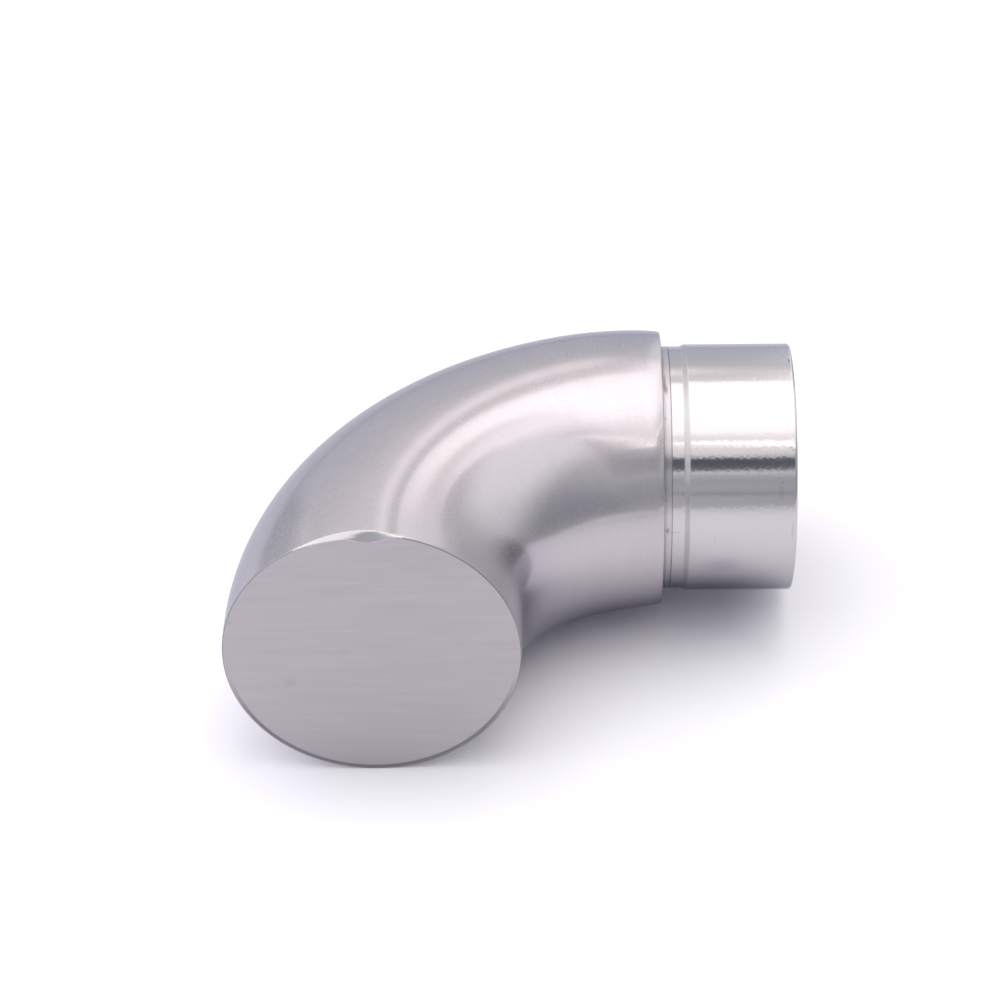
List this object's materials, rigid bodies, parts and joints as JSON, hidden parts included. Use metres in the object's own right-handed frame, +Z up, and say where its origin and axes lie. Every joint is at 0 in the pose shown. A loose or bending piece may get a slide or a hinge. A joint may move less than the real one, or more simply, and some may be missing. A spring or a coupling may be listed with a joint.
{
  "type": "handrail wall return",
  "caption": "Short quarter bend with a flat closed end that meets the wall and a turned spigot that plugs into a round handrail tube.",
  "frame": {"origin": "centre of the flat wall face", "axes": "-Y out of the wall face towards the wall, +X along the spigot towards the rail, +Z up; the piece lies on its side"},
  "size_m": [0.0849, 0.0671, 0.0434],
  "materials": {
    "satin_steel": "bend and wall face ground and brushed satin, spigot turned bright"
  },
  "bodies": {
    "root": {"wall_return": "satin_steel"}
  },
  "joints": []
}
